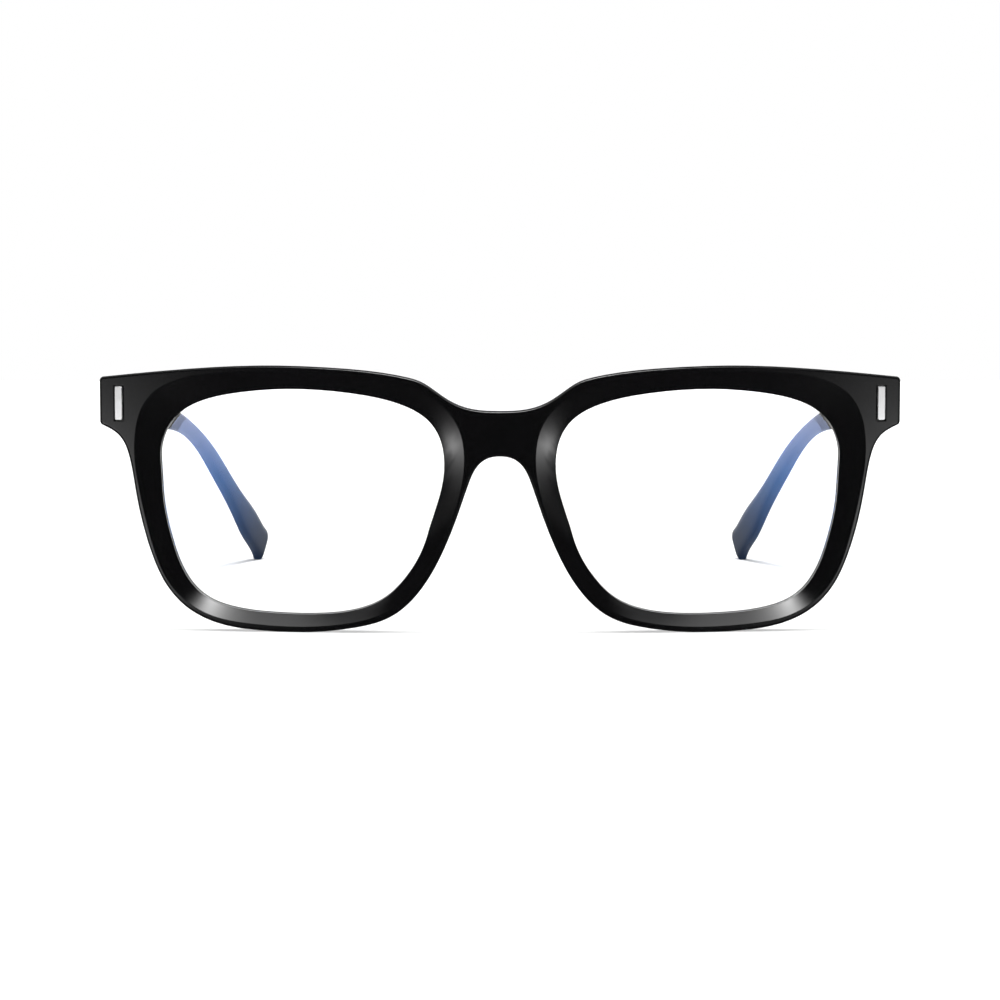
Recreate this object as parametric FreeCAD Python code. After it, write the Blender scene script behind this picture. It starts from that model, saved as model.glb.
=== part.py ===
import FreeCAD, Part
import math
import os

from FreeCAD import Matrix
from FreeCAD import Placement
from FreeCAD import Rotation
from FreeCAD import Vector

# Blue light glasses: a gloss black full-rim front with two clear coated lenses,
# a silver bar inlaid in each end piece, and two folding temples on five-knuckle
# hinges. Millimetres. +X is the right of a viewer who faces the front, +Y goes
# back towards the temple tips, +Z is up. The modelling frame has the bridge's
# front at y = 0 and the floor at z = 0; the parts move to the frame of the
# bounding box's bottom centre when they are written.

# ---- driving dimensions -------------------------------------------------------
HALF_WIDTH = 73.43          # centre line to the outer face of an end piece
FACE_RADIUS = 400.0         # radius of the upright cylinder the front is bent to
FRONT_THICKNESS = 4.2
EDGE_ROUND = 0.5            # rounding of the outline, front and rear
FACET_DEPTH = 1.6           # how far the dished facet sinks at the lens opening
FACET_REACH = 0.35          # how far its cutter runs on outwards, as a share of its width
OUTLINE_STATIONS = 44       # points that the lens opening's surfaces are drawn through

GROOVE_FRONT = 2.2          # the lens groove, as depths behind the front face
GROOVE_PEAK = 2.8
GROOVE_BACK = 3.4
GROOVE_HEIGHT = 0.8
LENS_GAP = 0.05
LENS_RADIUS = 130.0         # front surface of the lens
LENS_THICKNESS = 2.0
LENS_CENTRE = (36.2, 24.1)
LENS_EDGE_DEPTH = 1.75      # front of the lens at its edge, behind the front face

BUTT_Y = 14.0               # where an end piece meets its temple
BUTT_GAP = 0.05
END_INNER_X = 67.5          # inner side of the end piece
END_BOTTOM_Z = 38.5
END_FRONT_Y = 7.6           # the end piece's block starts behind the rounded front edge
END_CORNER_ROUND = 0.8

TRIM_X = 69.84
TRIM_Z = 41.71
TRIM_SIZE = (1.47, 0.85, 6.2)
TRIM_PROUD = 0.25
TRIM_RECESS_MARGIN = 0.22
TRIM_PIN_RADIUS = 0.4
TRIM_PIN_LENGTH = 1.4
TRIM_PIN_SPACING = 3.6

HINGE_X = 67.7
HINGE_Z = 42.63
KNUCKLE_COUNT = 5
KNUCKLE_RADIUS = 1.5
KNUCKLE_HEIGHT = 0.96
KNUCKLE_GAP = 0.05
SCREW_RADIUS = 0.55
SCREW_FIT = 0.02            # radial clearance in the front leaf's knuckles
SCREW_RUNNING_FIT = 0.05    # radial clearance in the temple leaf's knuckles
SCREW_HEAD_RADIUS = 0.95
SCREW_HEAD_HEIGHT = 0.45
SCREW_SLOT = (0.25, 0.22)   # width, depth
LEAF_HEIGHT = 4.9
LEAF_THICKNESS = 0.9
LEAF_SINK = 0.3             # how far the leaves' plates sink into the plastic
RIVET_RADIUS = 0.5
RIVET_HEAD_RADIUS = 0.95
RIVET_HEAD_HEIGHT = 0.35
RIVET_LENGTH = 2.6

TEMPLE_OUTER_X = HALF_WIDTH
TEMPLE_LENGTH = 138.5       # along its own line, from the butt to the tip
TEMPLE_THICKNESS = ((0.0, 3.99), (30.0, 3.8), (70.0, 3.0), (95.0, 2.6), (138.5, 2.6))
TEMPLE_HEIGHT = ((0.0, 7.6), (63.0, 6.2), (90.0, 3.2), (110.0, 4.5), (138.5, 8.3))
SLOPE_START = (2.0, 16.0, 6.6)      # from, over, degrees down: leaves the butt level
EAR_DROP = (70.0, 37.0, 30.95)       # from, over, degrees more down behind the ear
EAR_SWEEP = (60.0, 26.0, 17.3)      # from, over, degrees inwards
PATH_STEP = 0.5
TIP_ROUND = 2.8             # rounding of the tip's upper rear corner
CORE_RADIUS = 0.6
CORE_START = 16.0
CORE_END = 128.0

MEASURE_TOLERANCE = 0.01

PAD_DEPTH = 6.8             # how far a nose pad stands back from the front's rear face

# ---- outlines of the right half -----------------------------------------------
# They are drawn as they look from a point straight in front of the bridge, on the
# upright plane through the bridge's front. placed() turns them into true places.
VIEW_DISTANCE = 500.0       # from that point to the bridge
VIEW_HEIGHT = 62.68         # of that point above the floor
VIEW_FOOT = 0.54            # of the drawings' z = 0 above the floor

BROW_DRAWN = [
    (0.0, 40.0), (5.7, 40.5), (8.6, 41.6), (11.5, 43.5), (14.4, 45.35), (17.0, 46.15),
    (21.0, 46.9), (30.5, 47.85), (43.0, 48.25), (57.0, 47.62), (72.4, 46.2),
]
RIM_DRAWN = [
    (72.4, 37.7), (70.6, 36.8), (69.2, 35.8), (68.15, 34.4), (67.25, 32.0), (66.1, 25.7),
    (63.5, 14.75), (60.5, 8.15), (57.5, 4.7), (51.3, 1.35), (43.5, 0.0), (35.5, -0.33),
    (27.0, 0.4), (19.75, 2.55), (13.9, 8.1), (10.2, 14.7), (7.6, 21.2), (5.7, 26.7),
    (4.15, 29.85), (2.55, 31.2), (0.0, 31.72),
]
LENS_DRAWN = [
    (61.2, 31.5), (60.25, 36.5), (57.95, 39.65), (54.05, 41.85), (46.5, 43.5), (39.0, 44.05),
    (33.0, 43.9), (25.6, 43.1), (17.0, 40.9), (13.2, 38.6), (11.0, 35.5), (10.1, 31.5),
    (10.3, 27.5), (11.3, 23.5), (12.7, 19.1), (14.15, 14.8), (16.75, 10.4), (20.95, 6.2),
    (27.0, 3.9), (34.0, 3.3), (42.0, 3.6), (49.3, 4.8), (53.6, 6.8), (56.5, 10.0),
    (59.25, 16.8), (60.7, 23.6),
]
FACET_DRAWN = [
    (66.2, 31.0), (66.1, 36.5), (64.3, 41.8), (60.5, 44.9), (54.0, 46.6), (45.0, 47.2),
    (34.0, 47.15), (24.0, 46.3), (17.0, 44.9), (12.6, 42.6), (9.3, 40.0), (7.4, 37.0),
    (6.45, 32.5), (6.6, 28.2), (7.85, 23.2), (9.95, 17.6), (12.4, 12.6), (15.3, 8.0),
    (19.6, 3.9), (26.5, 1.45), (36.0, 0.65), (45.0, 1.2), (52.0, 2.55), (57.2, 5.4),
    (60.75, 9.6), (63.3, 16.3), (65.0, 23.3),
]


def sag(x):
    """How far back the front face lies at x."""
    return FACE_RADIUS - math.sqrt(FACE_RADIUS * FACE_RADIUS - x * x)


def lean(x):
    """Degrees that the front face has turned back at x."""
    return math.degrees(math.asin(x / FACE_RADIUS))


def placed(drawn, depth):
    """True places of drawn outline points, for a line that lies depth behind the front face."""
    result = []
    for x, z in drawn:
        spread = 1 + (sag(x) + depth) / VIEW_DISTANCE
        result.append((x * spread, VIEW_HEIGHT - (VIEW_HEIGHT - VIEW_FOOT - z) * spread))
    return result


BROW_LINE = placed(BROW_DRAWN, EDGE_ROUND)
RIM_LINE = placed(RIM_DRAWN, EDGE_ROUND)
LENS_LINE = placed(LENS_DRAWN, FRONT_THICKNESS)
FACET_LINE = placed(FACET_DRAWN, 0)


def ease(part):
    """0 to 1 with a soft start and end."""
    part = min(max(part, 0.0), 1.0)
    return part * part * (3.0 - 2.0 * part)


def interpolate(table, value):
    """Smooth value from a table of (position, size) pairs."""
    if value <= table[0][0]:
        return table[0][1]
    for (low, start), (high, end) in zip(table, table[1:]):
        if value <= high:
            return start + (end - start) * ease((value - low) / (high - low))
    return table[-1][1]


def closed_curve(points):
    """Smooth closed curve through points."""
    curve = Part.BSplineCurve()
    curve.interpolate(Points=points, PeriodicFlag=True)
    return curve


def closed_wire(points):
    return Part.Wire([closed_curve(points).toShape()])


def symmetric_edge(half, y):
    """Smooth edge through a half outline that ends or starts at x = 0, and its mirror image."""
    other = [(-x, z) for x, z in reversed(half)]
    line = half + other[1:] if half[-1][0] == 0 else other + half[1:]
    curve = Part.BSplineCurve()
    curve.interpolate(Points=[Vector(x, y, z) for x, z in line])
    return curve.toShape()


def box(low, high):
    size = [b - a for a, b in zip(low, high)]
    return Part.makeBox(size[0], size[1], size[2], Vector(*low))


def upright(x, y, radius, low, high):
    """Vertical cylinder."""
    return Part.makeCylinder(radius, high - low, Vector(x, y, low), Vector(0, 0, 1))


def axes_matrix(origin, x_axis, y_axis, z_axis):
    """Matrix that lays the X, Y and Z axes on three given directions at origin."""
    return Matrix(
        x_axis.x, y_axis.x, z_axis.x, origin.x,
        x_axis.y, y_axis.y, z_axis.y, origin.y,
        x_axis.z, y_axis.z, z_axis.z, origin.z,
        0, 0, 0, 1,
    )


def below_floor():
    """What is cut away so that the rims and the tips stand flat on the floor."""
    return box((-90, -20, -20), (90, 170, 0))


def mirrored(shape):
    """The same piece on the other side."""
    return shape.mirror(Vector(0, 0, 0), Vector(1, 0, 0))


def grown(points, amount):
    """A closed outline (anticlockwise) moved outwards by amount."""
    count = len(points)
    result = []
    for i in range(count):
        ahead = points[(i + 1) % count]
        behind = points[i - 1]
        dx = ahead[0] - behind[0]
        dz = ahead[1] - behind[1]
        length = math.hypot(dx, dz)
        result.append((points[i][0] + amount * dz / length, points[i][1] - amount * dx / length))
    return result


def bent_wire(points, depth):
    """A closed outline laid depth behind the front face."""
    return closed_wire([Vector(x, sag(x) + depth, z) for x, z in points])


def flat_wire(points, y):
    return closed_wire([Vector(x, y, z) for x, z in points])


# ---- front --------------------------------------------------------------------
def outline_prism():
    """The front's outline as a prism along Y, corners rounded."""
    top = symmetric_edge(BROW_LINE, -5)
    bottom = symmetric_edge(RIM_LINE, -5)
    x, z = BROW_LINE[-1]
    side = Part.makeLine(Vector(x, -5, z), Vector(x, -5, RIM_LINE[0][1]))
    edges = [top, side, bottom, mirrored(side)]
    face = Part.Face(Part.Wire(Part.__sortEdges__(edges)))
    prism = face.extrude(Vector(0, 30, 0))
    corners = []
    for edge in prism.Edges:
        middle = edge.CenterOfMass
        along_y = abs(edge.BoundBox.YLength - 30) < 0.01 and edge.BoundBox.XLength < 0.01
        if along_y and abs(middle.x) > HALF_WIDTH - 0.1:
            corners.append(edge)
    return prism.makeFillet(END_CORNER_ROUND, corners)


def matched_outlines():
    """Evenly spaced points on the facet's outer line, and the nearest ones on the opening."""
    outer = closed_curve([Vector(x, 0, z) for x, z in FACET_LINE]).toShape()
    inner = closed_curve([Vector(x, 0, z) for x, z in LENS_LINE])
    facet = []
    opening = []
    for point in outer.discretize(Number=OUTLINE_STATIONS + 1)[:-1]:
        near = inner.value(inner.parameter(point))
        facet.append((point.x, point.z))
        opening.append((near.x, near.z))
    return facet, opening


FACET, OPENING = matched_outlines()


def lens_cutter():
    """What one lens opening removes: the dished facet, the opening and the groove."""
    wide = [
        (a + (a - c) * FACET_REACH, b + (b - d) * FACET_REACH)
        for (a, b), (c, d) in zip(FACET, OPENING)
    ]
    groove = grown(OPENING, GROOVE_HEIGHT)
    wires = [
        flat_wire(wide, -5),
        bent_wire(wide, -FACET_DEPTH * FACET_REACH),
        bent_wire(OPENING, FACET_DEPTH),
        bent_wire(OPENING, GROOVE_FRONT),
        bent_wire(groove, GROOVE_PEAK),
        bent_wire(OPENING, GROOVE_BACK),
        flat_wire(OPENING, 20),
    ]
    return Part.makeLoft(wires, True, True)


def lens():
    """Right lens: a spherical shell cut to the opening, with a ridge for the groove."""
    inner = grown(OPENING, -LENS_GAP)
    ridge = grown(OPENING, GROOVE_HEIGHT - LENS_GAP)
    wires = [
        flat_wire(inner, -5),
        bent_wire(inner, GROOVE_FRONT),
        bent_wire(ridge, GROOVE_PEAK),
        bent_wire(inner, GROOVE_BACK),
        flat_wire(inner, 20),
    ]
    edge = Part.makeLoft(wires, True, True)
    x, z = LENS_CENTRE
    back = Vector(-math.sin(math.radians(lean(x))), math.cos(math.radians(lean(x))), 0)
    half_width = (LENS_LINE[0][0] - LENS_LINE[12][0]) / 2
    crown = LENS_RADIUS - math.sqrt(LENS_RADIUS ** 2 - half_width ** 2)
    flat = half_width ** 2 / (2 * FACE_RADIUS)
    front_point = Vector(x, sag(x), z) + back * (LENS_EDGE_DEPTH + flat - crown)
    centre = front_point + back * LENS_RADIUS
    shell = Part.makeSphere(LENS_RADIUS, centre)
    shell = shell.cut(Part.makeSphere(LENS_RADIUS - LENS_THICKNESS, centre))
    return edge.common(shell)


def trim_bar(margin=0.0):
    """Silver bar with two pins, or with a margin the recess that holds it."""
    width, depth, height = (size + 2 * margin for size in TRIM_SIZE)
    back = TRIM_SIZE[1] - TRIM_PROUD
    bar = Part.makeBox(width, depth, height, Vector(-width / 2, back - depth, -height / 2))
    if margin == 0:
        upright_edges = [e for e in bar.Edges if e.BoundBox.YLength > 0.5]
        bar = bar.makeFillet(0.3, upright_edges)
        rim = [e for e in bar.Edges if e.BoundBox.YMax < -TRIM_PROUD + 0.01]
        bar = bar.makeFillet(0.12, rim)
    for side in (-1, 1):
        pin = Part.makeCylinder(
            TRIM_PIN_RADIUS, TRIM_PIN_LENGTH,
            Vector(0, back - 0.01, side * TRIM_PIN_SPACING / 2), Vector(0, 1, 0),
        )
        bar = bar.fuse(pin)
    turn = Rotation(Vector(0, 0, 1), lean(TRIM_X))
    bar.Placement = Placement(Vector(TRIM_X, sag(TRIM_X), TRIM_Z), turn)
    return bar.removeSplitter()


def on_face_at(edge, depth):
    """Whether an edge lies depth behind the front face all along."""
    return all(abs(p.y - sag(p.x) - depth) < 0.01 for p in edge.discretize(Number=5))


def front_frame():
    prism = outline_prism()
    face, rear = (
        Part.makeCylinder(FACE_RADIUS, 60, Vector(0, FACE_RADIUS + depth, -5), Vector(0, 0, 1))
        for depth in (0, FRONT_THICKNESS)
    )
    body = prism.common(face).cut(rear)
    for depth in (0, FRONT_THICKNESS):
        body = body.makeFillet(EDGE_ROUND, [e for e in body.Edges if on_face_at(e, depth)])
    end_piece = prism.common(box((END_INNER_X, END_FRONT_Y, END_BOTTOM_Z), (80, BUTT_Y, 50)))
    body = body.fuse([end_piece, mirrored(end_piece)]).removeSplitter()
    cutter = lens_cutter()
    return body.cut([cutter, mirrored(cutter), below_floor()])


# ---- hinge --------------------------------------------------------------------
def knuckle_levels(which):
    """(bottom, top) of the front leaf's knuckles (0, 2, 4) or the temple leaf's (1, 3)."""
    pitch = KNUCKLE_HEIGHT + KNUCKLE_GAP
    base = HINGE_Z - (KNUCKLE_COUNT * KNUCKLE_HEIGHT + (KNUCKLE_COUNT - 1) * KNUCKLE_GAP) / 2
    return [(base + i * pitch, base + i * pitch + KNUCKLE_HEIGHT) for i in which]


HINGE_BOTTOM = knuckle_levels([0])[0][0]
HINGE_TOP = knuckle_levels([KNUCKLE_COUNT - 1])[0][1]
FRONT_PLATE_Y = sag(END_INNER_X) + FRONT_THICKNESS - LEAF_SINK
FRONT_PLATE_X = (60.6, END_INNER_X - 0.05)
FRONT_RIVETS_X = (62.2, 64.9)
TEMPLE_INNER_X = TEMPLE_OUTER_X - TEMPLE_THICKNESS[0][1]
TEMPLE_PLATE_X = TEMPLE_INNER_X + LEAF_SINK - LEAF_THICKNESS
TEMPLE_PLATE_Y = (BUTT_Y + 2.0, BUTT_Y + 12.0)
TEMPLE_RIVETS_Y = (BUTT_Y + 4.6, BUTT_Y + 9.2)


def rounded_plate(low, high, along):
    """Box whose four edges along one axis are rounded."""
    plate = box(low, high)
    length = {"x": "XLength", "y": "YLength"}[along]
    span = getattr(plate.BoundBox, length)
    edges = [
        e for e in plate.Edges
        if abs(getattr(e.BoundBox, length) - span) < 0.001 and e.Length < span + 0.001
    ]
    return plate.makeFillet(0.7, edges)


def front_leaf():
    """Plate behind the rim with three knuckles that reach back to the hinge line."""
    low_z = HINGE_Z - LEAF_HEIGHT / 2
    high_z = HINGE_Z + LEAF_HEIGHT / 2
    leaf = rounded_plate(
        (FRONT_PLATE_X[0], FRONT_PLATE_Y, low_z),
        (FRONT_PLATE_X[1], FRONT_PLATE_Y + LEAF_THICKNESS, high_z), "y",
    )
    for bottom, top in knuckle_levels([0, 2, 4]):
        arm = box(
            (HINGE_X - KNUCKLE_RADIUS, FRONT_PLATE_Y, bottom), (FRONT_PLATE_X[1], BUTT_Y, top)
        )
        leaf = leaf.fuse([arm, upright(HINGE_X, BUTT_Y, KNUCKLE_RADIUS, bottom, top)])
    bore = upright(HINGE_X, BUTT_Y, SCREW_RADIUS + SCREW_FIT, HINGE_BOTTOM - 1, HINGE_TOP + 1)
    seat = upright(
        HINGE_X, BUTT_Y, SCREW_HEAD_RADIUS + 0.05, HINGE_TOP - SCREW_HEAD_HEIGHT, HINGE_TOP + 1
    )
    leaf = leaf.cut([bore, seat])
    holes = [
        Part.makeCylinder(RIVET_RADIUS, 8, Vector(x, FRONT_PLATE_Y - 4, HINGE_Z), Vector(0, 1, 0))
        for x in FRONT_RIVETS_X
    ]
    return leaf.cut(holes).removeSplitter()


def temple_leaf():
    """Plate on the temple's inner face with two knuckles."""
    low_z = HINGE_Z - LEAF_HEIGHT / 2
    high_z = HINGE_Z + LEAF_HEIGHT / 2
    inner_x = TEMPLE_PLATE_X
    outer_x = inner_x + LEAF_THICKNESS
    leaf = rounded_plate(
        (inner_x, TEMPLE_PLATE_Y[0], low_z), (outer_x, TEMPLE_PLATE_Y[1], high_z), "x"
    )
    for bottom, top in knuckle_levels([1, 3]):
        arm = box((HINGE_X, BUTT_Y, bottom), (outer_x, TEMPLE_PLATE_Y[0] + 1, top))
        leaf = leaf.fuse([arm, upright(HINGE_X, BUTT_Y, KNUCKLE_RADIUS, bottom, top)])
    bore = upright(
        HINGE_X, BUTT_Y, SCREW_RADIUS + SCREW_RUNNING_FIT, HINGE_BOTTOM - 1, HINGE_TOP + 1
    )
    leaf = leaf.cut(bore)
    holes = [
        Part.makeCylinder(RIVET_RADIUS, 8, Vector(inner_x - 4, y, HINGE_Z), Vector(1, 0, 0))
        for y in TEMPLE_RIVETS_Y
    ]
    return leaf.cut(holes).removeSplitter()


def hinge_screw():
    """Slotted screw that the knuckles turn on."""
    head_bottom = HINGE_TOP - SCREW_HEAD_HEIGHT
    shank = upright(HINGE_X, BUTT_Y, SCREW_RADIUS, HINGE_BOTTOM, head_bottom)
    head = upright(HINGE_X, BUTT_Y, SCREW_HEAD_RADIUS, head_bottom, HINGE_TOP)
    width, depth = SCREW_SLOT
    slot = box(
        (HINGE_X - 2, BUTT_Y - width / 2, HINGE_TOP - depth),
        (HINGE_X + 2, BUTT_Y + width / 2, HINGE_TOP + 1),
    )
    return shank.fuse(head).cut(slot).removeSplitter()


def rivet(foot, direction):
    """Round-headed rivet whose head sits at foot and whose shank goes the other way."""
    shank = Part.makeCylinder(RIVET_RADIUS, RIVET_LENGTH, foot, direction * -1)
    head = Part.makeCylinder(RIVET_HEAD_RADIUS, RIVET_HEAD_HEIGHT, foot, direction)
    top = foot + direction * RIVET_HEAD_HEIGHT
    rim = [e for e in head.Edges if abs((e.CenterOfMass - top).dot(direction)) < 0.01 and e.Closed]
    head = head.makeFillet(0.2, rim[:1])
    return shank.fuse(head).removeSplitter()


def front_rivets():
    y = FRONT_PLATE_Y + LEAF_THICKNESS
    return [rivet(Vector(x, y, HINGE_Z), Vector(0, 1, 0)) for x in FRONT_RIVETS_X]


def temple_rivets():
    return [rivet(Vector(TEMPLE_PLATE_X, y, HINGE_Z), Vector(-1, 0, 0)) for y in TEMPLE_RIVETS_Y]


# ---- temple -------------------------------------------------------------------
def bend(settings, s):
    start, over, degrees = settings
    return degrees * ease((s - start) / over)


def temple_frames():
    """Points along the temple's middle line: (s, point, side direction, up direction)."""
    point = Vector(TEMPLE_OUTER_X - TEMPLE_THICKNESS[0][1] / 2, BUTT_Y + BUTT_GAP, HINGE_Z)
    frames = []
    s = 0.0
    while s <= TEMPLE_LENGTH + 0.001:
        down = math.radians(bend(SLOPE_START, s) + bend(EAR_DROP, s))
        inwards = math.radians(bend(EAR_SWEEP, s))
        ahead = Vector(
            -math.cos(down) * math.sin(inwards), math.cos(down) * math.cos(inwards), -math.sin(down)
        )
        side = Vector(math.cos(inwards), math.sin(inwards), 0)
        frames.append((s, point, side, side.cross(ahead)))
        point = point + ahead * PATH_STEP
        s += PATH_STEP
    return frames


FRAMES = temple_frames()


def frame_at(s):
    return FRAMES[round(s / PATH_STEP)]


def temple_section(s):
    """Rounded section of the temple at s; its outer face stays on one line to the ear."""
    s, point, side, up = frame_at(s)
    thickness = interpolate(TEMPLE_THICKNESS, s)
    height = interpolate(TEMPLE_HEIGHT, s)
    middle = point + side * ((TEMPLE_THICKNESS[0][1] - thickness) / 2)
    power = 2.0 / (5.0 - 1.6 * ease(s / 100.0))
    points = []
    count = 28
    for i in range(count):
        angle = 2 * math.pi * i / count
        across = math.copysign(abs(math.cos(angle)) ** power, math.cos(angle)) * thickness / 2
        rise = math.copysign(abs(math.sin(angle)) ** power, math.sin(angle)) * height / 2
        points.append(middle + side * across + up * rise)
    return closed_wire(points)


def core_section(s):
    s, point, side, up = frame_at(s)
    thickness = interpolate(TEMPLE_THICKNESS, s)
    middle = point + side * ((TEMPLE_THICKNESS[0][1] - thickness) / 2)
    circle = Part.Circle(middle, side.cross(up), CORE_RADIUS)
    return Part.Wire([circle.toShape()])


def temple_core():
    """Steel wire that lets the ear end be bent to fit."""
    stations = [CORE_START + (CORE_END - CORE_START) * i / 16 for i in range(17)]
    return Part.makeLoft([core_section(s) for s in stations], True, False)


def tip_corner():
    """What rounds the upper rear corner of the tip off."""
    s, point, side, up = frame_at(TEMPLE_LENGTH)
    ahead = side.cross(up) * -1
    height = interpolate(TEMPLE_HEIGHT, TEMPLE_LENGTH)
    centre = height / 2 - TIP_ROUND
    block = box((-9, -TIP_ROUND, centre), (9, 3, centre + TIP_ROUND + 3))
    round_part = Part.makeCylinder(TIP_ROUND, 18, Vector(-9, -TIP_ROUND, centre), Vector(1, 0, 0))
    corner = block.cut(round_part)
    corner.transformShape(axes_matrix(point, side, ahead, up))
    return corner


def temple():
    stations = [0, 10, 20, 35, 50, 62, 70, 76, 82, 88, 94, 100, 106, 114, 122, 130, TEMPLE_LENGTH]
    body = Part.makeLoft([temple_section(s) for s in stations], True, False)
    return body.cut(tip_corner()).cut(below_floor())


# ---- nose pads ----------------------------------------------------------------
def pad_section(step):
    """One slice of the right pad; step runs from 0 at the rim to 1 at the nose."""
    y = sag(10) + FRONT_THICKNESS - 0.6 + (PAD_DEPTH + 0.6) * step
    middle = Vector(10.1 + 1.6 * step ** 1.5, y, 20.9 - 0.6 * step)
    fullness = math.sqrt(1.0 - (0.96 * step) ** 4)
    across = 1.35 * fullness
    along = 7.2 - 2.6 * (1.0 - fullness)
    tilt = Rotation(Vector(0, 1, 0), -21)
    points = []
    for i in range(16):
        angle = 2 * math.pi * i / 16
        offset = Vector(across * math.cos(angle), 0, along * math.sin(angle))
        points.append(middle + tilt.multVec(offset))
    return closed_wire(points)


def nose_pad():
    steps = [0.0, 0.2, 0.4, 0.6, 0.75, 0.87, 0.95, 1.0]
    return Part.makeLoft([pad_section(step) for step in steps], True, False)


# ---- assembly -----------------------------------------------------------------
def build():
    """All pieces as {name: [solids]}, still in the modelling frame."""
    front = front_frame()
    pad = nose_pad().cut(front)
    recess = trim_bar(TRIM_RECESS_MARGIN)
    leaf = front_leaf()
    rivets = front_rivets()
    barrel_notch = upright(HINGE_X, BUTT_Y, KNUCKLE_RADIUS + 0.15, HINGE_BOTTOM - 0.15, 50)
    front = front.cut([leaf, mirrored(leaf)] + rivets + [mirrored(r) for r in rivets])
    front = front.cut([barrel_notch, mirrored(barrel_notch), recess, mirrored(recess)])
    core = temple_core()
    arm_leaf = temple_leaf()
    arm_rivets = temple_rivets()
    arm = temple().cut([core, arm_leaf] + arm_rivets)
    one_side = {
        "lens": [lens()],
        "nose_pad": [pad],
        "trim_bar": [trim_bar()],
        "front_hinge_leaf": [leaf],
        "front_hinge_rivets": rivets,
        "hinge_screw": [hinge_screw()],
        "temple": [arm],
        "temple_core": [core],
        "temple_hinge_leaf": [arm_leaf],
        "temple_hinge_rivets": arm_rivets,
    }
    parts = {"front_frame": [front]}
    for name, solids in one_side.items():
        parts[name + "_right"] = solids
        parts[name + "_left"] = [mirrored(solid) for solid in solids]
    return parts


def write(parts):
    """Move everything to the frame of the bounding box's bottom centre and write it."""
    everything = Part.makeCompound([solid for solids in parts.values() for solid in solids])
    points = everything.tessellate(MEASURE_TOLERANCE)[0]
    low = [min(values) for values in zip(*points)]
    high = [max(values) for values in zip(*points)]
    shift = Vector(-(low[0] + high[0]) / 2, -(low[1] + high[1]) / 2, -low[2])
    print("size", [round(b - a, 3) for a, b in zip(low, high)])
    print("shift", [round(v, 4) for v in shift])
    os.makedirs("parts", exist_ok=True)
    for name, solids in parts.items():
        shape = Part.makeCompound(solids) if len(solids) > 1 else solids[0]
        shape = shape.copy()
        shape.translate(shift)
        print(name, len(shape.Solids), "solids, valid", shape.isValid(), round(shape.Volume, 2))
        shape.exportStep(f"parts/{name}.step")


write(build())
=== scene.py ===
import math

import bpy
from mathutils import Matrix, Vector


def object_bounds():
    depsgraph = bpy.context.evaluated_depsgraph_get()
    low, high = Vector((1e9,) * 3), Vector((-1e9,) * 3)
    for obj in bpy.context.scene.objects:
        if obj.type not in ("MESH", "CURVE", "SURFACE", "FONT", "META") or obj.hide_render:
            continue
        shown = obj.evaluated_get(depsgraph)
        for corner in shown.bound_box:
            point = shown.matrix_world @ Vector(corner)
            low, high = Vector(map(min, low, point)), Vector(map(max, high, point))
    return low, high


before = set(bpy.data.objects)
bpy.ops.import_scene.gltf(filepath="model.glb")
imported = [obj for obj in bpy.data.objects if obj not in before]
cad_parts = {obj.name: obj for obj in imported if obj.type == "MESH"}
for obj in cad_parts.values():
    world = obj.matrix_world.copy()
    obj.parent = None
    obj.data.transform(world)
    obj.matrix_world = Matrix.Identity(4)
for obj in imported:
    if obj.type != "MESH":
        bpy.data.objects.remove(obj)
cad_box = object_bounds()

MM = 0.001

# Camera: in front of the bridge, a little above the glasses, looking slightly down.
CAMERA_DISTANCE = 500 * MM
CAMERA_HEIGHT = 62.68 * MM
AIM_HEIGHT = 24.38 * MM
FOCAL_LENGTH = 99.5
SENSOR_WIDTH = 36.0

# Stage: lengths in metres. The table glows from GLOW_FROM outwards, in full from GLOW_TO on.
FLOOR_HALF_WIDTH = 1.3
FLOOR_ALBEDO = 0.9
FLOOR_ALBEDO_CHANGE = 0.004
GLOW_FROM = 0.2
GLOW_TO = 0.7
GLOW_LEVEL = 0.75
BACKGROUND_LEVEL = 1.25

# Lights that gloss doesn't see, which whiten the table: name, place, radius and brightness. Only the
# temples cast a shadow from the tip_key.
TABLE_LIGHTS = (
    ("ceiling", (0, 0, 2.0), 3.4, 0.6),
    ("key", (0, -0.02, 0.6), 0.1, 16.0),
    ("tip_key", (0, 0.08, 0.6), 0.1, 23.0),
)
# Lights for the gloss only. Distance in front of the bridge, height above the table, spread
# (across, high or back), brightness, and how sharply it falls off.
TOP_LIGHT = (0.161, 0.25, (0.07, 0.0475), 18.5, 1.5)
# The same for the lights that are alike on both sides, after how far to the side they are
# brightest. Those named for the lens, the temple or the metal light only these.
TWIN_LIGHTS = {
    "side_light": (0.17, 0.15, -0.01, (0.026, 0.026), 6.4, 1.25),
    "lens_light": (0.152, 0.155, 0.08, (0.072, 0.064), 5.4, 2.5),
    "temple_light": (0.05, 0.3, 0.35, (0.3, 0.2), 1.4, 2.0),
    "metal_light": (0.3, 0.45, 0.3, (0.4, 0.4), 0.06, 2.0),
    "metal_back_light": (0.2, -0.7, 0.2, (0.4, 0.4), 1.2, 2.0),
}
# How far these lights reach, in spreads from their brightest place.
REACH = 5
# The studio's own faint light, and its far soft lights: azimuth and elevation of the middle, the
# angle that is fully bright, the angle where it ends, and how bright it is.
STUDIO_LEVEL = 0.04
FAR_LIGHTS = (
    (180, 20, 15, 40, 1.2),
    (180, -15, 30, 75, 0.55),
    (100, 55, 10, 30, 1.2),
    (-100, 55, 10, 30, 1.2),
)

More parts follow.
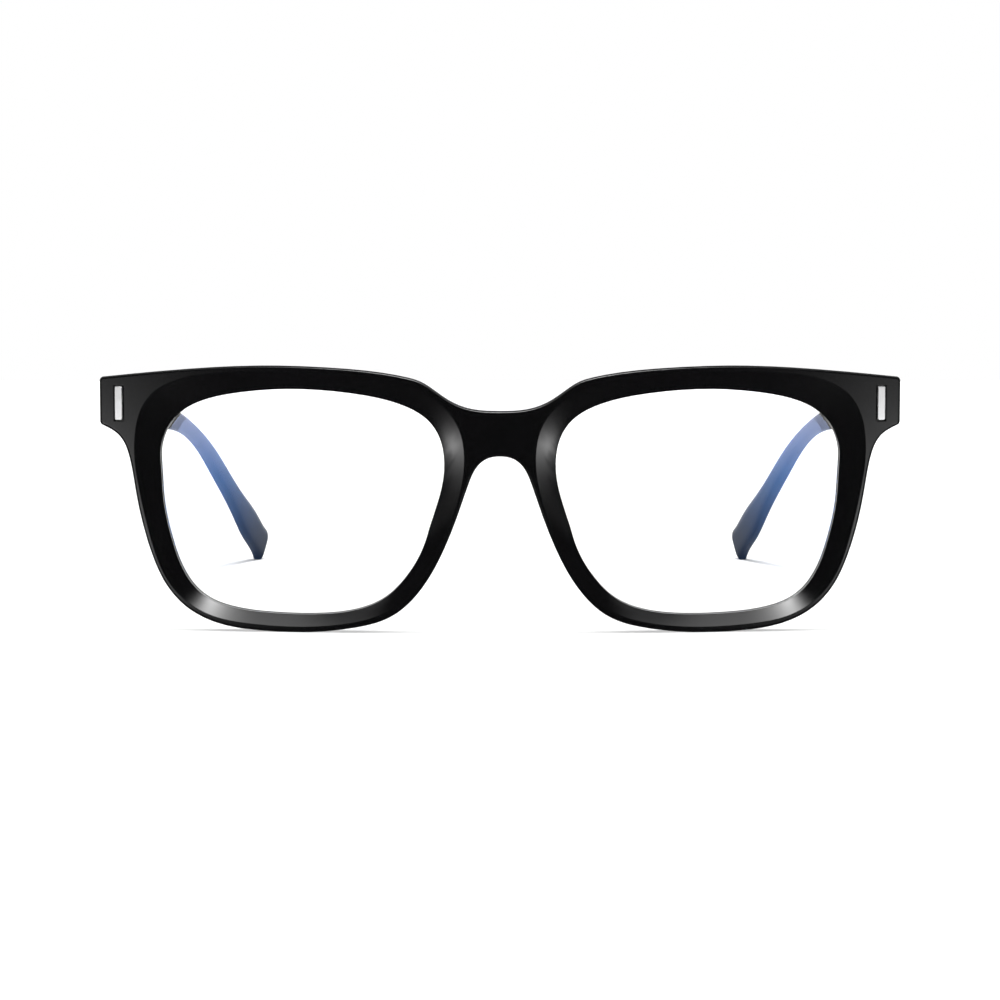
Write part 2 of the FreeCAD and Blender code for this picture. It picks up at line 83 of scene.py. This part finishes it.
# Lens: the coating's colour low and high on it, the glass's own, how much the coating mirrors, and
# how squarely a surface faces the front or back to be coated, which leaves out the ground edge.
COAT_BLUE = (0.2, 0.42, 1.0, 1.0)
COAT_LILAC = (0.62, 0.68, 1.0, 1.0)
LILAC_FROM = 28 * MM
LILAC_TO = 44 * MM
LENS_CLEAR = (0.995, 0.997, 0.993, 1.0)
COAT_SHARE = (0.047, 0.053)
COAT_ROUGHNESS = (0.03, 0.06)
COATED_FROM = 0.93
COATED_TO = 0.955

# Metals: how dark a worn spot is beside the rest, and how far edges look rounded.
WORN_TONE = 0.82
METAL_EDGE = 0.08 * MM

# Where each material goes: the CAD nodes whose names start with these words. The first that fits
# counts.
NODE_MATERIALS = (
    ("front_frame", "polished_plastic"),
    ("nose_pad", "pad_plastic"),
    ("temple_core", "core_wire"),
    ("temple_hinge_leaf", "hinge_metal"),
    ("temple_hinge_rivets", "rivet_metal"),
    ("temple", "temple_plastic"),
    ("lens", "coated_lens"),
    ("trim_bar", "satin_silver"),
    ("front_hinge_leaf", "hinge_metal"),
    ("front_hinge_rivets", "rivet_metal"),
    ("hinge_screw", "screw_metal"),
)


class Nodes:
    """The node tree of a material, light or world, with short ways to add and join nodes."""

    def __init__(self, owner):
        owner.use_nodes = True
        self.tree = owner.node_tree
        self.tree.nodes.clear()

    def add(self, kind, inputs=None, **settings):
        node = self.tree.nodes.new("ShaderNode" + kind)
        for name, value in settings.items():
            setattr(node, name, value)
        for name, value in (inputs or {}).items():
            if isinstance(value, bpy.types.NodeSocket):
                self.tree.links.new(value, node.inputs[name])
            else:
                node.inputs[name].default_value = value
        return node

    def math(self, operation, first, second=0.0):
        return self.add("Math", {0: first, 1: second}, operation=operation).outputs[0]

    def spread(self, value, low, high):
        """The value, from 0 to 1, spread over the range from low to high."""
        return self.add("MapRange", {"Value": value, "To Min": low, "To Max": high}).outputs["Result"]

    def position(self):
        return self.add("TexCoord").outputs["Object"]

    def noise(self, scale, detail=2.0, rough=0.5, stretch=None):
        """A noise pattern: scale is in cells per metre."""
        where = self.position()
        if stretch:
            where = self.add("Mapping", {"Vector": where, "Scale": stretch}).outputs[0]
        inputs = {"Vector": where, "Scale": scale, "Detail": detail, "Roughness": rough}
        return self.add("TexNoise", inputs).outputs["Fac"]

    def bump(self, height, depth, normal=None):
        """A normal raised by a height pattern from 0 to 1, depth metres high."""
        inputs = {"Height": height, "Strength": 1.0, "Distance": depth}
        if normal is not None:
            inputs["Normal"] = normal
        return self.add("Bump", inputs).outputs["Normal"]

    def show(self, shader):
        """Makes a shader the material's surface."""
        output = self.add("OutputMaterial")
        self.tree.links.new(shader, output.inputs["Surface"])


def new_material(name):
    return bpy.data.materials.new(name)


def plastic(name, dark, light, roughness, edge, grain):
    """Black moulded plastic: faint colour drift, handling smudges and a skin.

    edge is how far edges look rounded, and grain is the skin's fineness and its depth.
    """
    material = new_material(name)
    nodes = Nodes(material)
    drift = nodes.noise(90, 3.0)
    colour = nodes.add("Mix", {"Factor": drift, "A": dark, "B": light}, data_type="RGBA").outputs["Result"]
    smudge = nodes.noise(260, 5.0, 0.6)
    gloss = nodes.spread(smudge, roughness[0], roughness[1])
    rounded = nodes.add("Bevel", {"Radius": edge}, samples=6).outputs["Normal"]
    skin = nodes.bump(nodes.noise(grain[0], 2.0), grain[1], rounded)
    inputs = {"Base Color": colour, "Roughness": gloss, "Normal": skin, "IOR": 1.5}
    nodes.show(nodes.add("BsdfPrincipled", inputs).outputs[0])
    return material


def metal(name, colour, roughness, brush, brush_depth):
    """Metal with fine scratches, stretched by brush, an uneven polish and a patchy tone."""
    material = new_material(name)
    nodes = Nodes(material)
    scratches = nodes.noise(900, 4.0, 0.6, stretch=brush)
    gloss = nodes.spread(scratches, roughness[0], roughness[1])
    worn = [WORN_TONE * c for c in colour[:3]] + [1.0]
    tone = nodes.add(
        "Mix", {"Factor": nodes.noise(700, 3.0), "A": worn, "B": colour}, data_type="RGBA"
    ).outputs["Result"]
    rounded = nodes.add("Bevel", {"Radius": METAL_EDGE}, samples=4).outputs["Normal"]
    surface = nodes.bump(scratches, brush_depth, rounded)
    inputs = {"Base Color": tone, "Metallic": 1.0, "Roughness": gloss, "Normal": surface}
    nodes.show(nodes.add("BsdfPrincipled", inputs).outputs[0])
    return material


def coated_lens():
    """A clear lens whose coating mirrors a little blue, turning lilac towards the brow."""
    material = new_material("coated_lens")
    nodes = Nodes(material)
    height = nodes.add("SeparateXYZ", {0: nodes.position()}).outputs["Z"]
    lilac = nodes.add("MapRange", {"Value": height, "From Min": LILAC_FROM, "From Max": LILAC_TO})
    tint = nodes.add(
        "Mix", {"Factor": lilac.outputs["Result"], "A": COAT_BLUE, "B": COAT_LILAC}, data_type="RGBA"
    ).outputs["Result"]
    clear = nodes.add("BsdfTransparent", {"Color": LENS_CLEAR}).outputs[0]
    haze = nodes.spread(nodes.noise(60, 3.0), *COAT_ROUGHNESS)
    coat = nodes.add("BsdfGlossy", {"Color": tint, "Roughness": haze}).outputs[0]
    share = nodes.spread(nodes.noise(40, 2.0), *COAT_SHARE)
    facing = nodes.add("SeparateXYZ", {0: nodes.add("TexCoord").outputs["Normal"]}).outputs["Y"]
    squarely = {"Value": nodes.math("ABSOLUTE", facing), "From Min": COATED_FROM, "From Max": COATED_TO}
    coated = nodes.add("MapRange", squarely).outputs["Result"]
    share = nodes.math("MULTIPLY", share, coated)
    nodes.show(nodes.add("MixShader", {0: share, 1: clear, 2: coat}).outputs[0])
    return material


MATERIALS = {
    "polished_plastic": lambda: plastic(
        "polished_plastic", (0.0025, 0.0025, 0.003, 1), (0.004, 0.004, 0.0045, 1), (0.07, 0.12),
        0.15 * MM, (500, 0.002 * MM),
    ),
    "temple_plastic": lambda: plastic(
        "temple_plastic", (0.008, 0.008, 0.0085, 1), (0.014, 0.014, 0.0145, 1), (0.2, 0.28),
        0.12 * MM, (700, 0.003 * MM),
    ),
    "pad_plastic": lambda: plastic(
        "pad_plastic", (0.003, 0.003, 0.0035, 1), (0.006, 0.006, 0.0065, 1), (0.25, 0.38),
        0.1 * MM, (1500, 0.004 * MM),
    ),
    "satin_silver": lambda: metal(
        "satin_silver", (0.95, 0.95, 0.955, 1), (0.24, 0.3), (1, 1, 0.05), 0.0002 * MM
    ),
    "hinge_metal": lambda: metal(
        "hinge_metal", (0.62, 0.61, 0.6, 1), (0.2, 0.36), (0.05, 1, 1), 0.002 * MM
    ),
    "rivet_metal": lambda: metal(
        "rivet_metal", (0.7, 0.69, 0.68, 1), (0.16, 0.3), (1, 1, 1), 0.002 * MM
    ),
    "screw_metal": lambda: metal(
        "screw_metal", (0.66, 0.65, 0.64, 1), (0.14, 0.28), (1, 1, 0.1), 0.002 * MM
    ),
    "core_wire": lambda: metal(
        "core_wire", (0.6, 0.6, 0.6, 1), (0.25, 0.4), (1, 0.05, 1), 0.002 * MM
    ),
    "coated_lens": coated_lens,
}


def dress_nodes():
    """Gives every CAD node its material; nodes of one kind share it."""
    made = {}
    for name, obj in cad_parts.items():
        kind = next(kind for start, kind in NODE_MATERIALS if name.startswith(start))
        if kind not in made:
            made[kind] = MATERIALS[kind]()
        for slot in obj.material_slots:
            slot.material = made[kind]


def make_floor():
    """A white table top, lit from below far from the object, so that it has no visible end.

    Gloss doesn't see it, so that the lower sides of the object stay dark.
    """
    material = new_material("floor_white")
    nodes = Nodes(material)
    darkest, lightest = FLOOR_ALBEDO - FLOOR_ALBEDO_CHANGE, FLOOR_ALBEDO + FLOOR_ALBEDO_CHANGE
    tone = nodes.spread(nodes.noise(30, 3.0), darkest, lightest)
    grey = nodes.add("CombineColor", {0: tone, 1: tone, 2: tone}).outputs[0]
    away = nodes.add("VectorMath", {0: nodes.position()}, operation="LENGTH").outputs["Value"]
    far = {"Value": away, "From Min": GLOW_FROM, "From Max": GLOW_TO, "To Max": GLOW_LEVEL}
    glow = nodes.add("MapRange", far, interpolation_type="SMOOTHSTEP").outputs["Result"]
    below = nodes.add("Emission", {"Strength": glow}).outputs[0]
    table = nodes.add("BsdfDiffuse", {"Color": grey}).outputs[0]
    nodes.show(nodes.add("AddShader", {0: table, 1: below}).outputs[0])
    mesh = bpy.data.meshes.new("floor")
    s = FLOOR_HALF_WIDTH
    mesh.from_pydata([(-s, -s, 0), (s, -s, 0), (s, s, 0), (-s, s, 0)], [], [(0, 1, 2, 3)])
    mesh.materials.append(material)
    floor = bpy.data.objects.new("floor", mesh)
    bpy.context.scene.collection.objects.link(floor)
    floor.visible_glossy = False
    floor.visible_shadow = False


def direction(azimuth, elevation):
    """The way from the object towards azimuth (0 is the camera's side, 90 is +X) and elevation."""
    a, e = math.radians(azimuth), math.radians(elevation)
    return (math.sin(a) * math.cos(e), -math.cos(a) * math.cos(e), math.sin(e))


def make_world():
    """White to the camera's eye; to everything else a dark studio with far soft lights."""
    world = bpy.data.worlds.new("studio")
    bpy.context.scene.world = world
    nodes = Nodes(world)
    where = nodes.add("TexCoord").outputs["Generated"]
    total = STUDIO_LEVEL
    for azimuth, elevation, inner, outer, level in FAR_LIGHTS:
        facing = nodes.add(
            "VectorMath", {0: where, 1: direction(azimuth, elevation)}, operation="DOT_PRODUCT"
        ).outputs["Value"]
        inputs = {
            "Value": facing,
            "From Min": math.cos(math.radians(outer)),
            "From Max": math.cos(math.radians(inner)),
            "To Max": level,
        }
        glow = nodes.add("MapRange", inputs, interpolation_type="SMOOTHSTEP").outputs["Result"]
        total = nodes.math("ADD", glow, total)
    seen = nodes.add("LightPath").outputs["Is Camera Ray"]
    studio = nodes.add("Background", {"Strength": total}).outputs[0]
    white = nodes.add("Background", {"Strength": BACKGROUND_LEVEL}).outputs[0]
    mixed = nodes.add("MixShader", {0: seen, 1: studio, 2: white}).outputs[0]
    output = nodes.add("OutputWorld")
    nodes.tree.links.new(mixed, output.inputs["Surface"])


def make_light(name, place, towards, size, level):
    """An even soft light of a given size (across, high) whose surface has a given brightness."""
    data = bpy.data.lights.new(name, "AREA")
    data.shape = "ELLIPSE"
    data.size, data.size_y = size
    data.energy = level * math.pi * math.pi * size[0] * size[1] / 4
    light = bpy.data.objects.new(name, data)
    bpy.context.scene.collection.objects.link(light)
    light.location = place
    light.rotation_mode = "QUATERNION"
    light.rotation_quaternion = (Vector(towards) - Vector(place)).to_track_quat("-Z", "Y")
    light.visible_camera = False
    return light


def make_glow(name, place, towards, spread, level, power):
    """A light for the gloss only, brightest at a place and at its mirror image on the other side."""
    centre = Vector((0, place[1], place[2]))
    ahead = Vector(towards) - centre
    across, high = spread
    upright = abs(ahead.z) < abs(ahead.y)
    size = (2 * (place[0] + REACH * across), 2 * REACH * high)
    light = make_light(name, centre, towards, size, level)
    light.visible_diffuse = False
    light.data.use_nodes = True
    nodes = Nodes(light.data)
    spot = nodes.add("NewGeometry").outputs["Position"]
    mirror = nodes.add("VectorMath", {0: spot, 1: (-1, 1, 1)}, operation="MULTIPLY").outputs["Vector"]
    spot = nodes.add("VectorMath", {0: spot, 1: mirror}, operation="MAXIMUM").outputs["Vector"]
    away = nodes.add("VectorMath", {0: spot, 1: place}, operation="SUBTRACT").outputs["Vector"]
    scale = (1 / across, 0, 1 / high) if upright else (1 / across, 1 / high, 0)
    steps = nodes.add("VectorMath", {0: away, 1: scale}, operation="MULTIPLY").outputs["Vector"]
    steps = nodes.add("VectorMath", {0: steps}, operation="LENGTH").outputs["Value"]
    fall = nodes.math("MULTIPLY", nodes.math("POWER", steps, power), -1.0)
    glow = nodes.add("Emission", {"Strength": nodes.math("EXPONENT", fall)}).outputs[0]
    nodes.tree.links.new(glow, nodes.add("OutputLight").inputs["Surface"])
    return light


def node_collection(*starts):
    """The CAD nodes whose names begin with one of the words, as a collection for light linking."""
    collection = bpy.data.collections.new(starts[0] + "_nodes")
    for name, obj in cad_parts.items():
        if name.startswith(starts):
            collection.objects.link(obj)
    return collection


def make_lights():
    """The lights near the object. The world holds the far ones."""
    front = cad_box[0].y
    temples, lenses = node_collection("temple"), node_collection("lens")
    for name, place, radius, level in TABLE_LIGHTS:
        light = make_light(name, place, (place[0], 0, 0), (2 * radius, 2 * radius), level)
        light.visible_glossy = False
        if name == "tip_key":
            light.light_linking.blocker_collection = temples
    ahead, height, spread, level, power = TOP_LIGHT
    make_glow("top_light", (0, front - ahead, height), (0, front - ahead, 0), spread, level, power)
    metals = node_collection("trim", "front_hinge", "temple_hinge", "hinge_screw")
    receivers = {"lens": lenses, "temple": temples, "metal": metals}
    for name, (x, ahead, height, spread, level, power) in TWIN_LIGHTS.items():
        place = (x, front - ahead, height)
        light = make_glow(name, place, (0, 0, height), spread, level, power)
        kind = name.split("_")[0]
        if kind in receivers:
            light.light_linking.receiver_collection = receivers[kind]


def make_camera():
    """The camera looks at the middle of the front from straight ahead."""
    lo, hi = cad_box
    data = bpy.data.cameras.new("camera")
    data.lens = FOCAL_LENGTH
    data.sensor_width = SENSOR_WIDTH
    camera = bpy.data.objects.new("camera", data)
    bpy.context.scene.collection.objects.link(camera)
    middle = (lo.x + hi.x) / 2
    camera.location = (middle, lo.y - CAMERA_DISTANCE, CAMERA_HEIGHT)
    aim = Vector((middle, lo.y, AIM_HEIGHT)) - camera.location
    camera.rotation_mode = "QUATERNION"
    camera.rotation_quaternion = aim.to_track_quat("-Z", "Y")
    bpy.context.scene.camera = camera


make_camera()
bpy.context.scene.view_settings.view_transform = "Standard"
dress_nodes()
make_floor()
make_world()
make_lights()
